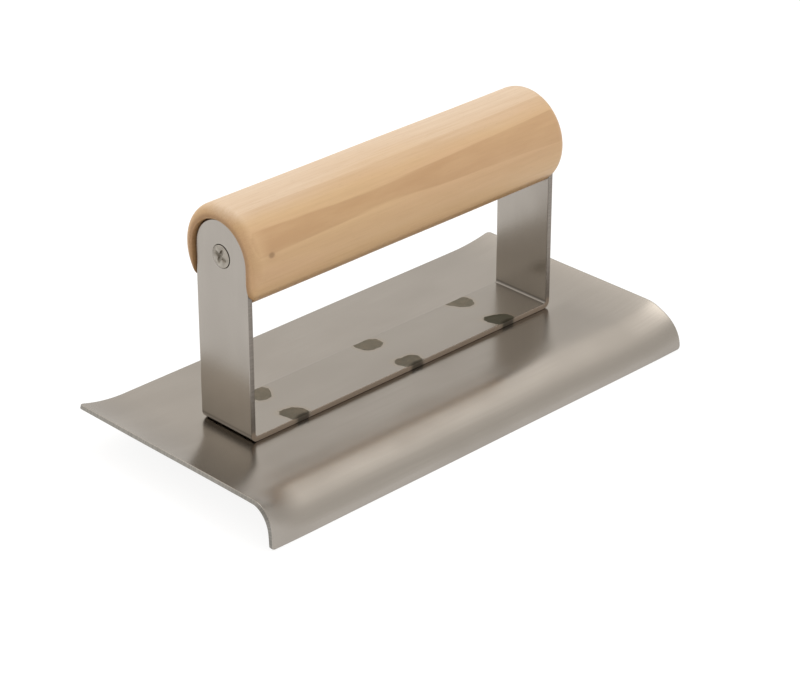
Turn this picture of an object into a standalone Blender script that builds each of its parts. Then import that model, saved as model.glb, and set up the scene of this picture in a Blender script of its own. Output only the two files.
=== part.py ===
"""Concrete hand edger: a pressed steel blade with a quarter-round lip along its front,
a folded strap welded on top of it, and a turned wooden grip held by two screws.

Metres, +Z up. X runs along the blade, -Y towards the lip. The origin is on the flat
sole, half way along the blade and straight under the grip.
"""
import math

import bmesh
import bpy
from mathutils import Vector

# Blade
BLADE_LENGTH = 0.1524
BLADE_WIDTH = 0.0744         # back edge to the outer face of the lip
BLADE_THICKNESS = 0.0012
BLADE_BACK = 0.0342          # grip's centre line to the back edge
LIP_RADIUS = 0.0095          # outside of the rolled lip, a quarter round
END_RISE = 0.0020            # how far each end is turned up
END_LENGTH = 0.0150          # stretch of blade that is turned up at each end
BACK_CORNER_RADIUS = 0.0012
LIP_CORNER_RADIUS = 0.0018

# Handle bracket
STRAP_WIDTH = 0.0193
STRAP_THICKNESS = 0.0015
BRACKET_LENGTH = 0.1108      # over the outside faces of the two uprights
BEND_RADIUS = 0.0015         # inside of the two folds

# Grip
GRIP_DIAMETER = 0.0273
GRIP_HEIGHT = 0.0497         # grip's axis above the top of the blade
GRIP_OVERHANG = 0.0010       # how far the grip's ends stand past the uprights
GRIP_ROUNDING = 0.0030
SLOT_CLEARANCE = 0.0004      # wood to the strap's edges

# Screws
SCREW_LENGTH = 0.0200        # from the bracket's outer face to the tip
SCREW_DIAMETER = 0.0035
SCREW_HEAD_DIAMETER = 0.0068
SCREW_DOME = 0.0006          # rise of the head over the bracket's face
SCREW_POINT = 0.0040         # length of the pointed end
RECESS_SPAN = 0.0036         # cross recess, tip to tip
RECESS_TIP_WIDTH = 0.0007    # width of an arm at its outer end
RECESS_ROOT_WIDTH = 0.0011   # width of an arm at the middle of the cross
RECESS_DEPTH = 0.0012

# Spot welds
WELD_INSET = 0.0174          # outside of an upright to the nearest welds
WELD_COLUMNS = ("left", "middle", "right")
WELD_EDGE = 0.0029           # strap's edge to the weld's centre
WELD_MARK_DIAMETER = 0.0050  # dent that the electrode leaves
WELD_MARK_DEPTH = 0.00015
NUGGET_DIAMETER = 0.0036
NUGGET_IN_STRAP = 0.0005     # how deep the fused metal reaches into each sheet
NUGGET_IN_BLADE = 0.0004
NUGGET_CHAMFER = 0.0002

FIT_GAP = 0.0003             # clearance between seated pieces
CUT_MARGIN = 0.0010          # how far a cutter reaches past the face it opens
MERGE = 0.00001

# Facets
LIP_SEGMENTS = 12
END_SEGMENTS = 8
CORNER_SEGMENTS = 4
FLAT_ALONG_SEGMENTS = 2
FLAT_ACROSS_SEGMENTS = 2
BEND_SEGMENTS = 6
STRAP_END_SEGMENTS = 28
GRIP_STEPS = 64
ROUNDING_SEGMENTS = 6
SCREW_STEPS = 28
DOME_SEGMENTS = 4
WELD_STEPS = 20

# Where the pieces meet
BLADE_FLAT = BLADE_WIDTH - LIP_RADIUS
OUTER_BEND = BEND_RADIUS + STRAP_THICKNESS
STRAP_BASE = BRACKET_LENGTH / 2 - OUTER_BEND
STRAP_BOTTOM = BLADE_THICKNESS + FIT_GAP
STRAP_TOP = STRAP_BOTTOM + STRAP_THICKNESS
GRIP_AXIS = BLADE_THICKNESS + GRIP_HEIGHT
GRIP_RADIUS = GRIP_DIAMETER / 2
GRIP_HALF = BRACKET_LENGTH / 2 + GRIP_OVERHANG
WELD_ROW = STRAP_WIDTH / 2 - WELD_EDGE
WELD_REACH = BRACKET_LENGTH / 2 - WELD_INSET
SIDES = {"left": -1, "right": 1}


def clear_scene():
    for old in list(bpy.data.objects):
        bpy.data.objects.remove(old, do_unlink=True)


def new_collection(name):
    collection = bpy.data.collections.new(name)
    bpy.context.scene.collection.children.link(collection)
    return collection


def new_material(name, color, roughness, metallic):
    material = bpy.data.materials.new(name)
    material.use_nodes = True
    shader = material.node_tree.nodes["Principled BSDF"]
    shader.inputs["Base Color"].default_value = (*color, 1.0)
    shader.inputs["Roughness"].default_value = roughness
    shader.inputs["Metallic"].default_value = metallic
    return material


def mesh_object(name, bm, collection):
    mesh = bpy.data.meshes.new(name)
    bm.to_mesh(mesh)
    bm.free()
    made = bpy.data.objects.new(name, mesh)
    collection.objects.link(made)
    return made


def finish_part(part, material, parent):
    part.data.materials.append(material)
    part.data.shade_smooth()
    part.data.set_sharp_from_angle(angle=math.radians(30))
    part.parent = parent


def hide_cutter(cutter):
    cutter.hide_render = True
    cutter.display_type = "WIRE"


def cut(part, cutter):
    boolean = part.modifiers.new(f"cut_{cutter.name}", "BOOLEAN")
    boolean.operation = "DIFFERENCE"
    boolean.solver = "EXACT"
    boolean.object = cutter


def thicken(part, thickness):
    """Give a surface its sheet thickness, on the side that its normals point away from."""
    solidify = part.modifiers.new("thickness", "SOLIDIFY")
    solidify.thickness = thickness
    solidify.offset = -1
    solidify.use_even_offset = True


def turned(name, profile, steps, collection):
    """Turn a profile of (radius, height) points, listed from the top down, about Z."""
    bm = bmesh.new()
    points = [bm.verts.new((radius, 0, height)) for radius, height in profile]
    for upper, lower in zip(points, points[1:]):
        bm.edges.new((upper, lower))
    made = mesh_object(name, bm, collection)
    screw = made.modifiers.new("turn", "SCREW")
    screw.steps = steps
    screw.render_steps = steps
    screw.use_merge_vertices = True
    screw.merge_threshold = MERGE
    return made


def prism(name, outline, thickness, collection):
    """A flat outline in XY, thickened evenly about Z, as a closed mesh."""
    curve = bpy.data.curves.new(name, "CURVE")
    curve.dimensions = "2D"
    curve.fill_mode = "BOTH"
    curve.extrude = thickness / 2
    spline = curve.splines.new("POLY")
    spline.points.add(len(outline) - 1)
    for point, (x, y) in zip(spline.points, outline):
        point.co = (x, y, 0, 1)
    spline.use_cyclic_u = True
    drawn = bpy.data.objects.new(name, curve)
    collection.objects.link(drawn)
    graph = bpy.context.evaluated_depsgraph_get()
    mesh = bpy.data.meshes.new_from_object(drawn.evaluated_get(graph))
    bpy.data.objects.remove(drawn, do_unlink=True)
    bm = bmesh.new()
    bm.from_mesh(mesh)
    bmesh.ops.remove_doubles(bm, verts=bm.verts, dist=MERGE)
    bmesh.ops.recalc_face_normals(bm, faces=bm.faces)
    return mesh_object(name, bm, collection)


def corner_inset(from_edge, radius):
    """How far a rounded corner draws the blade's end in, at a distance from the edge."""
    if from_edge >= radius:
        return 0.0
    return radius - math.sqrt(radius ** 2 - (radius - from_edge) ** 2)


def corner_steps(radius):
    """Distances from an edge that share a corner's quarter round out evenly."""
    angles = [math.pi / 2 * step / CORNER_SEGMENTS for step in range(CORNER_SEGMENTS + 1)]
    return [radius * (1 - math.cos(angle)) for angle in angles]


def evenly(start, end, segments):
    return [start + (end - start) * step / segments for step in range(1, segments)]


def press_blade(along, across):
    """Press a point of the flat blank: across runs from the back edge to the lip's edge.

    The flat carries on to the lip, which turns a quarter round. Each end is lifted by the
    square of the way into its turned-up stretch, and the lift fades out round the lip.
    """
    angle = max(0.0, (across - BLADE_FLAT) / LIP_RADIUS)
    y = BLADE_BACK - min(across, BLADE_FLAT) - LIP_RADIUS * math.sin(angle)
    z = BLADE_THICKNESS - LIP_RADIUS * (1 - math.cos(angle))
    into_end = max(0.0, abs(along) - BLADE_LENGTH / 2 + END_LENGTH) / END_LENGTH
    return Vector((along, y, z + END_RISE * into_end ** 2 * math.cos(angle)))


def make_blade(collection):
    """Press a flat blank with rounded corners into the blade."""
    width = BLADE_FLAT + LIP_RADIUS * math.pi / 2
    back = corner_steps(BACK_CORNER_RADIUS)
    front = [width - step for step in reversed(corner_steps(LIP_CORNER_RADIUS))]
    lip = [BLADE_FLAT] + evenly(BLADE_FLAT, front[0], LIP_SEGMENTS)
    rows = back + evenly(back[-1], BLADE_FLAT, FLAT_ACROSS_SEGMENTS) + lip + front

    half = BLADE_LENGTH / 2
    end = [half - END_LENGTH] + evenly(half - END_LENGTH, half, END_SEGMENTS) + [half]
    middle = evenly(-end[0], end[0], FLAT_ALONG_SEGMENTS)
    columns = [-x for x in reversed(end)] + middle + end

    bm = bmesh.new()
    last_column = len(columns) - 1
    last_row = len(rows) - 1
    bmesh.ops.create_grid(bm, x_segments=last_column, y_segments=last_row, size=1)
    for vert in bm.verts:
        column = round((vert.co.x + 1) / 2 * last_column)
        row = round((1 - vert.co.y) / 2 * last_row)
        inset = corner_inset(rows[row], BACK_CORNER_RADIUS)
        inset += corner_inset(width - rows[row], LIP_CORNER_RADIUS)
        vert.co = press_blade(columns[column] * (half - inset) / half, rows[row])
    blade = mesh_object("blade", bm, collection)
    thicken(blade, BLADE_THICKNESS)
    return blade


def fold_strap(along, across):
    """Fold a point of the flat strap: base, quarter-round bend, then upright.

    Lengths are measured along the strap's outer face, which lies underneath on the base.
    """
    past_base = abs(along) - STRAP_BASE
    if past_base <= 0:
        return Vector((along, across, STRAP_BOTTOM))
    angle = min(past_base / OUTER_BEND, math.pi / 2)
    up = past_base - OUTER_BEND * angle
    x = STRAP_BASE + OUTER_BEND * math.sin(angle)
    z = STRAP_BOTTOM + OUTER_BEND * (1 - math.cos(angle)) + up
    return Vector((math.copysign(x, along), across, z))


def make_bracket(collection):
    """Cut a strap with round ends, score it along the bends and fold it up."""
    radius = STRAP_WIDTH / 2
    bend = OUTER_BEND * math.pi / 2
    reach = STRAP_BASE + bend + GRIP_AXIS - STRAP_BOTTOM - OUTER_BEND
    bm = bmesh.new()
    outline = []
    for side in SIDES.values():
        for step in range(STRAP_END_SEGMENTS + 1):
            angle = math.pi * step / STRAP_END_SEGMENTS
            along = side * (reach + radius * math.sin(angle))
            outline.append(bm.verts.new((along, side * radius * math.cos(angle), 0)))
    bm.faces.new(outline)
    for side in SIDES.values():
        for step in range(BEND_SEGMENTS + 1):
            along = side * (STRAP_BASE + bend * step / BEND_SEGMENTS)
            geometry = list(bm.verts) + list(bm.edges) + list(bm.faces)
            bmesh.ops.bisect_plane(bm, geom=geometry, plane_co=(along, 0, 0), plane_no=(1, 0, 0))
    for vert in bm.verts:
        vert.co = fold_strap(vert.co.x, vert.co.y)
    bm.normal_update()
    lowest = min(bm.faces, key=lambda face: face.calc_center_median().z)
    if lowest.normal.z > 0:
        bmesh.ops.reverse_faces(bm, faces=bm.faces)
    bracket = mesh_object("handle_bracket", bm, collection)
    thicken(bracket, STRAP_THICKNESS)
    return bracket


def make_grip(collection):
    """Turn a plain round bar with rounded ends, and lay it along X."""
    corner = []
    for step in range(ROUNDING_SEGMENTS + 1):
        angle = math.pi / 2 * step / ROUNDING_SEGMENTS
        radius = GRIP_RADIUS - GRIP_ROUNDING * (1 - math.sin(angle))
        height = GRIP_HALF - GRIP_ROUNDING * (1 - math.cos(angle))
        corner.append((radius, height))
    lower = [(radius, -height) for radius, height in reversed(corner)]
    profile = [(0, GRIP_HALF)] + corner + lower + [(0, -GRIP_HALF)]
    grip = turned("handle_grip", profile, GRIP_STEPS, collection)
    grip.location = (0, 0, GRIP_AXIS)
    grip.rotation_euler = (0, math.pi / 2, 0)
    return grip


def make_slot_cutter(side, collection):
    """Round-topped slot for an upright, open at the grip's end and underside."""
    radius = STRAP_WIDTH / 2 + SLOT_CLEARANCE
    outline = []
    for step in range(STRAP_END_SEGMENTS + 1):
        angle = math.pi * step / STRAP_END_SEGMENTS
        outline.append((radius * math.cos(angle), radius * math.sin(angle)))
    below = -GRIP_RADIUS - CUT_MARGIN
    outline += [(-radius, below), (radius, below)]
    depth = GRIP_OVERHANG + STRAP_THICKNESS + FIT_GAP + CUT_MARGIN
    cutter = prism(f"{side}_slot_cutter", outline, depth, collection)
    cutter.location = (SIDES[side] * (GRIP_HALF + CUT_MARGIN - depth / 2), 0, GRIP_AXIS)
    cutter.rotation_euler = (math.pi / 2, 0, math.pi / 2)
    return cutter


def place_on_end(piece, side):
    """Put a turned piece on the grip's axis, its top at the bracket's outer face."""
    piece.location = (SIDES[side] * BRACKET_LENGTH / 2, 0, GRIP_AXIS)
    piece.rotation_euler = (0, SIDES[side] * math.pi / 2, 0)


def countersunk(clearance):
    """Cone, shank and point of a screw, grown by a clearance."""
    head = SCREW_HEAD_DIAMETER / 2 + clearance
    shank = SCREW_DIAMETER / 2 + clearance
    tip = -SCREW_LENGTH - clearance
    return [(head, 0), (shank, shank - head), (shank, tip + SCREW_POINT), (0, tip)]


def make_screw(side, collection):
    """Turn a countersunk screw with a low domed head."""
    head = SCREW_HEAD_DIAMETER / 2
    dome = [(0, SCREW_DOME)]
    for step in range(1, DOME_SEGMENTS):
        radius = head * step / DOME_SEGMENTS
        dome.append((radius, SCREW_DOME * (1 - (radius / head) ** 2)))
    screw = turned(f"{side}_screw", dome + countersunk(0), SCREW_STEPS, collection)
    place_on_end(screw, side)
    return screw


def make_screw_cutter(side, collection):
    """Countersunk hole and pilot hole for a screw, through the upright into the grip."""
    hole = countersunk(FIT_GAP)
    mouth = hole[0][0]
    profile = [(0, CUT_MARGIN), (mouth, CUT_MARGIN)] + hole
    cutter = turned(f"{side}_screw_cutter", profile, SCREW_STEPS, collection)
    place_on_end(cutter, side)
    return cutter


def make_recess_cutter(side, collection):
    """Cross-shaped recess in a screw's head."""
    arm = RECESS_SPAN / 2
    tip = RECESS_TIP_WIDTH / 2
    root = RECESS_ROOT_WIDTH / 2
    quarter = [(arm, -tip), (arm, tip), (root, root)]
    outline = []
    for turn in range(4):
        cos = round(math.cos(turn * math.pi / 2))
        sin = round(math.sin(turn * math.pi / 2))
        outline += [(x * cos - y * sin, x * sin + y * cos) for x, y in quarter]
    depth = RECESS_DEPTH + CUT_MARGIN
    cutter = prism(f"{side}_recess_cutter", outline, depth, collection)
    middle = BRACKET_LENGTH / 2 + SCREW_DOME + CUT_MARGIN - depth / 2
    cutter.location = (SIDES[side] * middle, 0, GRIP_AXIS)
    cutter.rotation_euler = (0, SIDES[side] * math.pi / 2, 0)
    return cutter


def weld_places():
    """Name and centre of each spot weld: a row along each edge of the strap."""
    middle = (len(WELD_COLUMNS) - 1) / 2
    places = {}
    for row, y in (("back", WELD_ROW), ("front", -WELD_ROW)):
        for number, column in enumerate(WELD_COLUMNS):
            places[f"{row}_{column}"] = ((number - middle) / middle * WELD_REACH, y)
    return places


def make_weld_cutter(name, diameter, low, high, collection):
    """One round cut at every spot weld, between two heights."""
    bm = bmesh.new()
    for x, y in weld_places().values():
        made = bmesh.ops.create_cone(
            bm, cap_ends=True, segments=WELD_STEPS, depth=high - low,
            radius1=diameter / 2, radius2=diameter / 2)
        bmesh.ops.translate(bm, verts=made["verts"], vec=(x, y, (low + high) / 2))
    return mesh_object(name, bm, collection)


def make_nugget(name, place, collection):
    """Lens of fused metal between the sheets, seated in a pocket in each."""
    low = BLADE_THICKNESS - NUGGET_IN_BLADE + FIT_GAP
    high = STRAP_BOTTOM + NUGGET_IN_STRAP - FIT_GAP
    bm = bmesh.new()
    radius = NUGGET_DIAMETER / 2
    bmesh.ops.create_cone(bm, cap_ends=True, segments=WELD_STEPS, depth=high - low,
                          radius1=radius, radius2=radius)
    nugget = mesh_object(f"spot_weld_{name}", bm, collection)
    nugget.location = (*place, (low + high) / 2)
    chamfer = nugget.modifiers.new("chamfer", "BEVEL")
    chamfer.width = NUGGET_CHAMFER
    chamfer.segments = 2
    chamfer.limit_method = "ANGLE"
    chamfer.angle_limit = math.radians(60)
    return nugget


def build():
    clear_scene()
    parts = new_collection("concrete_edger")
    cutters = new_collection("cutters")
    steel = new_material("blade_steel", (0.42, 0.39, 0.36), 0.28, 1.0)
    strap_steel = new_material("strap_steel", (0.42, 0.39, 0.36), 0.32, 1.0)
    wood = new_material("grip_wood", (0.72, 0.50, 0.31), 0.55, 0.0)
    screw_steel = new_material("screw_steel", (0.40, 0.38, 0.35), 0.35, 1.0)
    weld_steel = new_material("weld_steel", (0.15, 0.13, 0.11), 0.55, 1.0)

    edger = bpy.data.objects.new("edger", None)
    parts.objects.link(edger)

    blade = make_blade(parts)
    bracket = make_bracket(parts)
    grip = make_grip(parts)
    finish_part(blade, steel, edger)
    finish_part(bracket, strap_steel, edger)
    finish_part(grip, wood, edger)

    for side in SIDES:
        screw = make_screw(side, parts)
        finish_part(screw, screw_steel, edger)
        slot = make_slot_cutter(side, cutters)
        hole = make_screw_cutter(side, cutters)
        recess = make_recess_cutter(side, cutters)
        cut(grip, slot)
        cut(grip, hole)
        cut(bracket, hole)
        cut(screw, recess)

    dents = make_weld_cutter("weld_mark_cutter", WELD_MARK_DIAMETER,
                             STRAP_TOP - WELD_MARK_DEPTH, STRAP_TOP + CUT_MARGIN, cutters)
    pockets = make_weld_cutter("weld_pocket_cutter", NUGGET_DIAMETER + 2 * FIT_GAP,
                               BLADE_THICKNESS - NUGGET_IN_BLADE,
                               STRAP_BOTTOM + NUGGET_IN_STRAP, cutters)
    cut(bracket, dents)
    cut(bracket, pockets)
    cut(blade, pockets)
    for name, place in weld_places().items():
        nugget = make_nugget(name, place, parts)
        finish_part(nugget, weld_steel, edger)

    for cutter in cutters.objects:
        hide_cutter(cutter)


build()
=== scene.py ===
# %% [markdown]
# # Dressing a concrete hand edger
#
# A hand edger rounds the edge of fresh concrete. A pressed steel blade slides on the slab, and its rolled
# lip shapes the corner. A folded steel strap is spot-welded on top, and a turned wooden grip sits between
# the strap's two uprights, held by a screw at each end.
#
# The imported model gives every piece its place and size. This lesson makes each of them again as a fine
# surface, worked out with arrays, and gives it the finish of the real thing.

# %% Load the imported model
import math

import bmesh
import bpy
import numpy as np
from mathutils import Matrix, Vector


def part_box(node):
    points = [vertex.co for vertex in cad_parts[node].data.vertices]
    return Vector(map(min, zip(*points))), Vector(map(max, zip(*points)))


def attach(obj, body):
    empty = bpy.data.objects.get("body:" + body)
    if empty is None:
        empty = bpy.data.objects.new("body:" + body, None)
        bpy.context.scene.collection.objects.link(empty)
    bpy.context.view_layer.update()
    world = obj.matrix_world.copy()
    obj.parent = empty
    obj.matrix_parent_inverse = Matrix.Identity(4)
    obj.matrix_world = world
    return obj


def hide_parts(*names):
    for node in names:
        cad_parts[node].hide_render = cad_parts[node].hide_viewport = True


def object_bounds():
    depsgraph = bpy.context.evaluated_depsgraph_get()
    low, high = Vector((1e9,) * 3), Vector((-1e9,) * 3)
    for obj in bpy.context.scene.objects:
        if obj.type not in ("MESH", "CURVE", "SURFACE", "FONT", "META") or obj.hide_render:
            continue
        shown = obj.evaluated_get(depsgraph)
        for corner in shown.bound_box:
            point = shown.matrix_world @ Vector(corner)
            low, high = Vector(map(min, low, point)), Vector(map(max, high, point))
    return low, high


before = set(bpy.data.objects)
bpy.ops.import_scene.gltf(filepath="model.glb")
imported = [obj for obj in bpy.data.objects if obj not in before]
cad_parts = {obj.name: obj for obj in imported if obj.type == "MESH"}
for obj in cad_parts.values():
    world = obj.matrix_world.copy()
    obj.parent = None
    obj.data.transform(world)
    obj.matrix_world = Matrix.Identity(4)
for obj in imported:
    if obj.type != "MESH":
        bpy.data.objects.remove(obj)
cad_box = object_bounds()
MM = 0.001
print("nodes:", ", ".join(sorted(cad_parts)))

# %% [markdown]
# ## Sizes that come from the frame
#
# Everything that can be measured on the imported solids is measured, so that the surfaces land where the
# solids are. Only what a box can't tell, such as a sheet's thickness or a bend's radius, is written down.

# %% Measure the solids
blade_low, blade_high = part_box("blade")
strap_low, strap_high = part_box("handle_bracket")
grip_low, grip_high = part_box("handle_grip")

GRIP_RADIUS = (grip_high.y - grip_low.y) / 2
GRIP_HALF = grip_high.x
AXIS_HEIGHT = grip_high.z - GRIP_RADIUS
STRAP_HALF_WIDTH = strap_high.y
UPRIGHT_FACE = strap_high.x
STRAP_BOTTOM = strap_low.z
BLADE_BACK = blade_high.y
LIP_FACE = blade_low.y
print(f"grip {2 * GRIP_RADIUS / MM:.1f} mm thick and {2 * GRIP_HALF / MM:.1f} mm long, "
      f"its axis {AXIS_HEIGHT / MM:.1f} mm up")

# %% [markdown]
# ## Helpers for surfaces
#
# A surface here is a grid of points. One helper numbers the grid's quads, and one makes an object out of
# arrays. Faces that come out of a grid may point either way, so seams and poles are merged first and the
# normals are worked out again after that.

# %% Grids and meshes
SAME_POINT = 0.001 * MM
NO_EDGE = 0.0005 * MM


def unit(vectors):
    """Each vector divided by its own length."""
    return vectors / np.linalg.norm(vectors, axis=-1, keepdims=True)


def spaced(*stretches):
    """Join even stretches, each given as start, end and number of steps, into one list without repeats."""
    parts = [np.linspace(start, end, steps + 1) for start, end, steps in stretches]
    return np.unique(np.concatenate(parts).round(9))


def grid_faces(rows, columns, wrap=False):
    """Corner numbers of a grid's quads, row by row; wrap joins the last column to the first."""
    row = np.arange(rows - 1)[:, None]
    column = np.arange(columns if wrap else columns - 1)[None, :]
    beside = (column + 1) % columns
    corners = (row * columns + column, row * columns + beside,
               (row + 1) * columns + beside, (row + 1) * columns + column)
    return np.stack(np.broadcast_arrays(*corners), axis=-1).reshape(-1, 4)


def add_object(name, data):
    """Put a mesh, a camera or a lamp into the scene as an object."""
    thing = bpy.data.objects.new(name, data)
    bpy.context.scene.collection.objects.link(thing)
    return thing


def new_piece(name, slot, nodes, points, faces, fields):
    """A smooth mesh object from arrays, riding on the body in place of the named nodes.

    fields maps a name to one number, or one vector, for each point, which the materials read.
    """
    mesh = bpy.data.meshes.new(name)
    mesh.from_pydata(points.tolist(), [], faces.tolist())
    for field_name, values in fields.items():
        kind, key = ("FLOAT", "value") if values.ndim == 1 else ("FLOAT_VECTOR", "vector")
        attribute = mesh.attributes.new(field_name, kind, "POINT")
        attribute.data.foreach_set(key, values.astype(np.float32).ravel())
    bm = bmesh.new()
    bm.from_mesh(mesh)
    bmesh.ops.remove_doubles(bm, verts=bm.verts, dist=SAME_POINT)
    bmesh.ops.dissolve_degenerate(bm, edges=bm.edges, dist=NO_EDGE)
    bmesh.ops.recalc_face_normals(bm, faces=bm.faces)
    open_edges = sum(not edge.is_manifold for edge in bm.edges)
    bm.to_mesh(mesh)
    bm.free()
    mesh.shade_smooth()
    piece = add_object(name, mesh)
    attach(piece, "root")
    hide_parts(*nodes)
    print(f"{name}: {len(mesh.polygons)} faces, {open_edges} open edges")
    return piece


# %% [markdown]
# ## A sheet with rounded edges
#
# Blade and strap are both sheet steel, sheared to shape and deburred. Each is drawn as two matching skins,
# and this step joins them round the rim. A Bevel modifier could round the edge too, but it shrinks wherever
# the grid is finer than its width, so the edge is worked out instead: a quarter circle out of one skin, the
# sheared side, and a quarter circle into the other skin.

# %% Close a sheet round its rim
ARRIS = 0.18 * MM
ARRIS_STEPS = 3


def point_normals(points, faces):
    """Normal of each point: the sum of the normals of the faces round it, which larger faces pull more."""
    corners = points[faces]
    face_normals = np.cross(corners[:, 2] - corners[:, 0], corners[:, 3] - corners[:, 1])
    normals = np.zeros_like(points)
    for corner in range(4):
        np.add.at(normals, faces[:, corner], face_normals)
    return unit(normals)


def rim_outward(points, faces, rim):
    """Direction out of a skin at each point of its rim: along the rim, crossed with the skin's normal."""
    start, end = rim.T
    along = points[end] - points[start]
    normals = point_normals(points, faces)
    outward = np.zeros_like(points)
    np.add.at(outward, start, np.cross(along, normals[start]))
    np.add.at(outward, end, np.cross(along, normals[end]))
    return unit(outward[np.unique(rim)])


def close_sheet(outer, inner, faces, fields):
    """Join two matching skins into a sheet with rounded edges.

    Every edge that only one quad uses lies on the rim. Both skins are drawn in there by the arris, and
    rows of points run from one to the other. The field "sheared" is 0 on the skins and 1 on the side
    between them.
    """
    sides = faces[:, [[0, 1], [1, 2], [2, 3], [3, 0]]].reshape(-1, 2)
    _, first, uses = np.unique(np.sort(sides, axis=1), axis=0, return_index=True, return_counts=True)
    rim = sides[first[uses == 1]]
    used = np.unique(rim)

    turn = np.linspace(0, math.pi / 2, ARRIS_STEPS + 1)[:, None, None]
    reach, drop = np.sin(turn) - 1, 1 - np.cos(turn)
    wall = unit(inner - outer)[used]
    upper = outer[used] + ARRIS * (rim_outward(outer, faces, rim) * reach + wall * drop)
    lower = inner[used] + ARRIS * (rim_outward(inner, faces, rim) * reach - wall * drop)
    rows = np.concatenate([upper, lower[::-1]])
    outer, inner = outer.copy(), inner.copy()
    outer[used], inner[used] = rows[0], rows[-1]

    count, ring = len(outer), len(used)
    place_in_ring = np.zeros(count, int)
    place_in_ring[used] = np.arange(ring)
    between = 2 * count + np.arange(len(rows) - 2)[:, None] * ring + np.arange(ring)
    ladder = np.concatenate([used[None], between, used[None] + count])
    start, end = place_in_ring[rim].T
    strip = np.stack([ladder[:-1, end], ladder[:-1, start], ladder[1:, start], ladder[1:, end]], axis=-1)

    points = np.concatenate([outer, inner, rows[1:-1].reshape(-1, 3)])
    quads = np.concatenate([faces, faces[:, ::-1] + count, strip.reshape(-1, 4)])
    bent = np.concatenate([np.sin(turn.ravel()), np.sin(turn.ravel())[::-1]])[1:-1]
    shared = {"sheared": np.concatenate([np.zeros(2 * count), np.repeat(bent, ring)])}
    for name, values in fields.items():
        shared[name] = np.concatenate([values, values] + [values[used]] * len(bent))
    return points, quads, shared


# %% [markdown]
# ## The pressed blade
#
# A press turns a flat steel blank into the blade: the front edge is rolled down into a lip, and both ends
# are turned up so that they don't dig in. The lip isn't a plain quarter round. The steel first leans over in
# a short bend, runs on nearly straight, and only then rolls down, faster and faster. That is what the
# reflections show: one quick step into the bright ceiling, which stays for a while and then fades. So the
# lip is drawn by its heading, the angle that the sheet has turned through, and the profile is the sum of
# small steps along that heading.

# %% Lip profile
BLADE_THICKNESS = 1.2 * MM
LIP_DROP = 9.5 * MM
MIDDLE_LIP = {"lean": math.radians(18.8), "lean_share": 0.312, "power": 2.11, "turn": math.radians(92.2)}
LEFT_LIP = {"lean": 0.0, "lean_share": 0.0, "power": 1.0, "turn": math.radians(122)}
STRAIGHT_DOWN = math.radians(89)


def lip_profile(lean, lean_share, power, turn, steps=4000):
    """Length, forward reach, drop and heading along the lip.

    The heading is a smooth step to the lean over the first share of the length, plus the rest of the turn
    times a power of the share of the length past the middle of that step. It stops when it points straight
    down. No lean and a power of 1 give a plain arc and a straight leg.
    """
    share = np.linspace(0, 1, steps)
    first = np.clip(share / max(lean_share, 1 / steps), 0, 1)
    past = np.clip((share - lean_share / 2) / (1 - lean_share / 2), 0, 1)
    heading = lean * first ** 2 * (3 - 2 * first) + (turn - lean) * past ** power
    heading = np.minimum(heading, STRAIGHT_DOWN)
    middle = (heading[1:] + heading[:-1]) / 2
    reach = np.concatenate([[0], np.cumsum(np.cos(middle))])
    drop = np.concatenate([[0], np.cumsum(np.sin(middle))])
    scale = LIP_DROP / drop[-1]
    return share * (steps - 1) * scale, reach * scale, drop * scale, heading


def lip_section(shape):
    """The whole section of the blade as a function of the share of its width, from back to lip."""
    length, reach, drop, heading = lip_profile(**shape)
    flat = BLADE_BACK - LIP_FACE - reach[-1]
    share = np.concatenate([[0], flat + length]) / (flat + length[-1])
    y = BLADE_BACK - np.concatenate([[0], flat + reach])
    z = BLADE_THICKNESS - np.concatenate([[0], drop])
    return flat + length[-1], (share, y, z, np.concatenate([[0], heading]))


BLANK_WIDTH, middle_section = lip_section(MIDDLE_LIP)
_, left_section = lip_section(LEFT_LIP)
print(f"blank {BLANK_WIDTH / MM:.1f} mm wide, lip from y {middle_section[1][1] / MM:.1f} mm")

# %% [markdown]
# With the section known, one function of two lengths, along and across the blank, tells where each point of
# the top ends up. The underside is the same surface, one thickness further along its normal, and the corners
# are rounded by drawing the blank's ends in near its edges.

# %% Blade surface
BLADE_LENGTH = 152.4 * MM
END_LENGTH = 15.0 * MM
LEFT_RISE = 2.55 * MM
RIGHT_RISE = 1.6 * MM
RISE_FADE = 0.6
RIPPLE = 0.014 * MM


def ripple(along, across):
    """The faint waves that rolling leaves in a sheet: a sum of three slow sines in unlike directions."""
    return RIPPLE * (np.sin(along / (9.1 * MM) + 0.7 * np.sin(across / (13 * MM)))
                     + np.sin(across / (7.3 * MM) + 1.3)
                     + np.sin((along - across) / (11.7 * MM) + 0.4))


def press_blade(along, across):
    """Top of the blade: the middle section, carried along the blade.

    Each end is lifted by the square of the way into its turned-up stretch, and round the lip that fades
    with a power of the cosine of the heading. The press didn't treat both ends alike: the left one is lifted
    more, and its section goes over to a tight arc with a straight leg by that same square.
    """
    into_end = np.maximum(0, np.abs(along) - BLADE_LENGTH / 2 + END_LENGTH) / END_LENGTH
    share = across / BLANK_WIDTH
    middle = [np.interp(share, middle_section[0], values) for values in middle_section[1:]]
    left = [np.interp(share, left_section[0], values) for values in left_section[1:]]
    turned = np.where(along < 0, into_end ** 2, 0)
    y, z, heading = [first + (second - first) * turned for first, second in zip(middle, left)]
    rise = np.where(along < 0, LEFT_RISE, RIGHT_RISE) * np.cos(heading) ** RISE_FADE
    z = z + rise * into_end ** 2 + ripple(along, across)
    return np.stack(np.broadcast_arrays(along, y, z), axis=-1)


def corner_inset(from_edge, radius):
    """How far a corner of this radius draws the blank's end in, at a distance from the edge."""
    inside = np.clip(radius - from_edge, 0, radius)
    return radius - np.sqrt(radius ** 2 - inside ** 2)


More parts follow.
